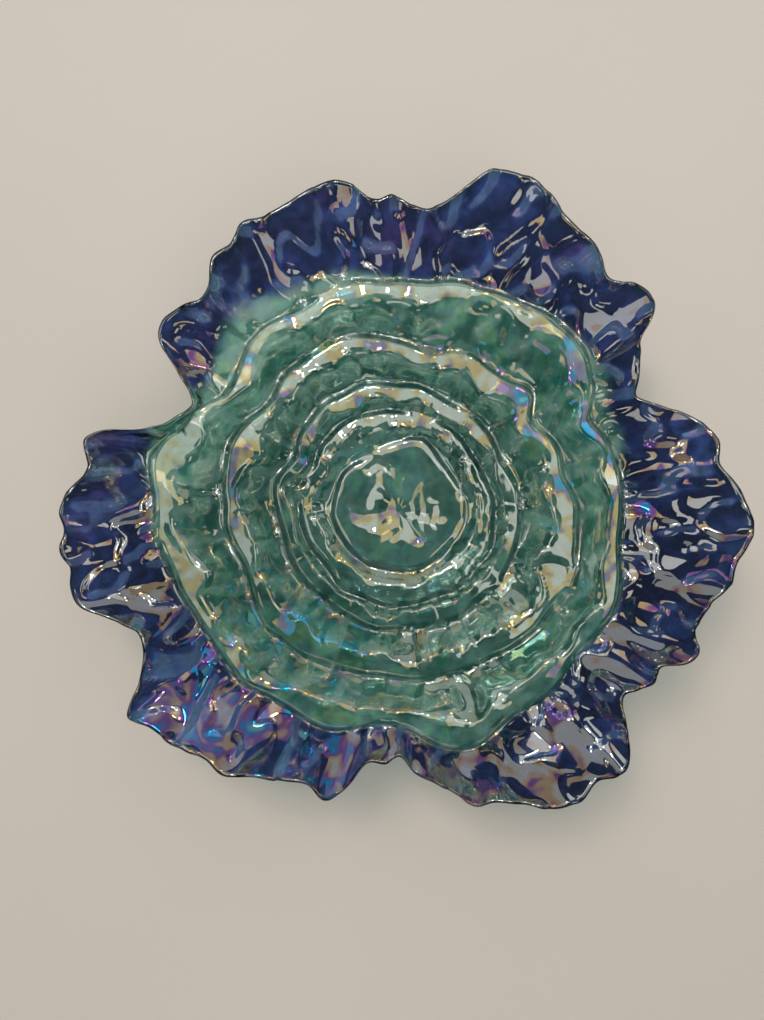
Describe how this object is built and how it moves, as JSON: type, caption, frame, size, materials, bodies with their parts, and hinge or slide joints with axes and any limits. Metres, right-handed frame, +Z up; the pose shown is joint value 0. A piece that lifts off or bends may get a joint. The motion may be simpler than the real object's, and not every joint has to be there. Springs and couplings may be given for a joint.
{
  "type": "art glass bowl",
  "caption": "Three-petalled flower bowl of iridescent slumped glass with nested wavy terraces and a flared, scalloped rim, on clear bumper feet.",
  "frame": {"origin": "on the table, under the middle of the bowl's bounding box", "axes": "+Z up out of the bowl's mouth, +X along its longest spread, +Y towards the petal with the tallest tip"},
  "size_m": [0.4208, 0.3893, 0.0801],
  "materials": {
    "stained_glass": "fire-polished glass, teal middle fading to cobalt and violet flange, iridescent lustre",
    "clear_polyurethane": "clear, glossy",
    "acrylic_adhesive": "clear film"
  },
  "bodies": {
    "root": {"glass_bowl": "stained_glass", "bumper_foot_1": "clear_polyurethane", "bumper_foot_2": "clear_polyurethane", "bumper_foot_3": "clear_polyurethane", "bumper_foot_4": "clear_polyurethane", "adhesive_disc_1": "acrylic_adhesive", "adhesive_disc_2": "acrylic_adhesive", "adhesive_disc_3": "acrylic_adhesive", "adhesive_disc_4": "acrylic_adhesive"}
  },
  "joints": []
}
